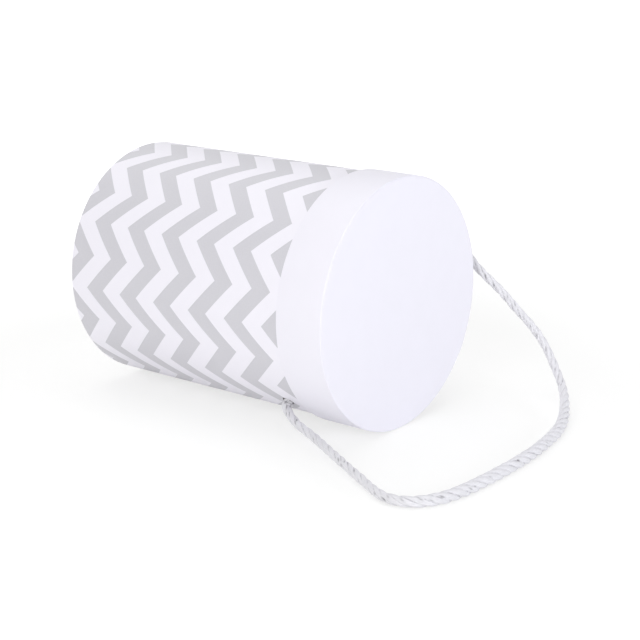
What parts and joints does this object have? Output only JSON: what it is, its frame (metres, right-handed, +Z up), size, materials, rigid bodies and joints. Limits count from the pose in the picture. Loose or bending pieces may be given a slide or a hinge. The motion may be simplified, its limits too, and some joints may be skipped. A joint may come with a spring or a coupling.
{
  "type": "round flower box",
  "caption": "Round rigid paper flower box lying on its side: chevron-printed body, plain lift-off lid with a deep band and a knotted twisted rope handle through two holes in the wall.",
  "frame": {"origin": "on the floor under the middle of the box as it lies on its side, the loose rope left out", "axes": "+X along the floor from the base to the lid, +Y towards the far hole's side, +Z up; the box's own axis rises by 0.563 degrees towards the lid, because it rests on its foot and on the lid's wider band"},
  "size_m": [0.2767, 0.1997, 0.1432],
  "materials": {
    "printed_paper": "smooth uncoated art paper, white with grey chevrons",
    "white_paper": "smooth uncoated white paper",
    "lid_paper": "smooth white paper with a faint cool tint",
    "lining_paper": "matt white lining paper",
    "greyboard": "raw recycled greyboard",
    "cotton_rope": "soft white 3-strand twisted rope"
  },
  "bodies": {
    "box": {"body_tube": "greyboard", "base_disc": "greyboard", "body_wrap": "printed_paper", "base_cover": "white_paper", "body_lining": "lining_paper", "base_lining": "lining_paper"},
    "lid": {"lid_band_board": "greyboard", "lid_disc": "greyboard", "lid_wrap": "lid_paper", "lid_top_paper": "lid_paper", "lid_lining": "lining_paper"},
    "handle": {"handle_rope": "cotton_rope", "rope_knot_near": "cotton_rope", "rope_knot_far": "cotton_rope"}
  },
  "joints": [
    {"name": "lid_lift", "type": "slide", "parent": "box", "child": "lid", "axis": [1, 0, 0.0098], "range_m": [0, 0.06]},
    {"name": "handle_swing", "type": "hinge", "parent": "box", "child": "handle", "pos_m": [0.05112, 0, 0.07133], "axis": [0.0073, -0.6691, -0.7431], "range_deg": [0, 145]}
  ]
}
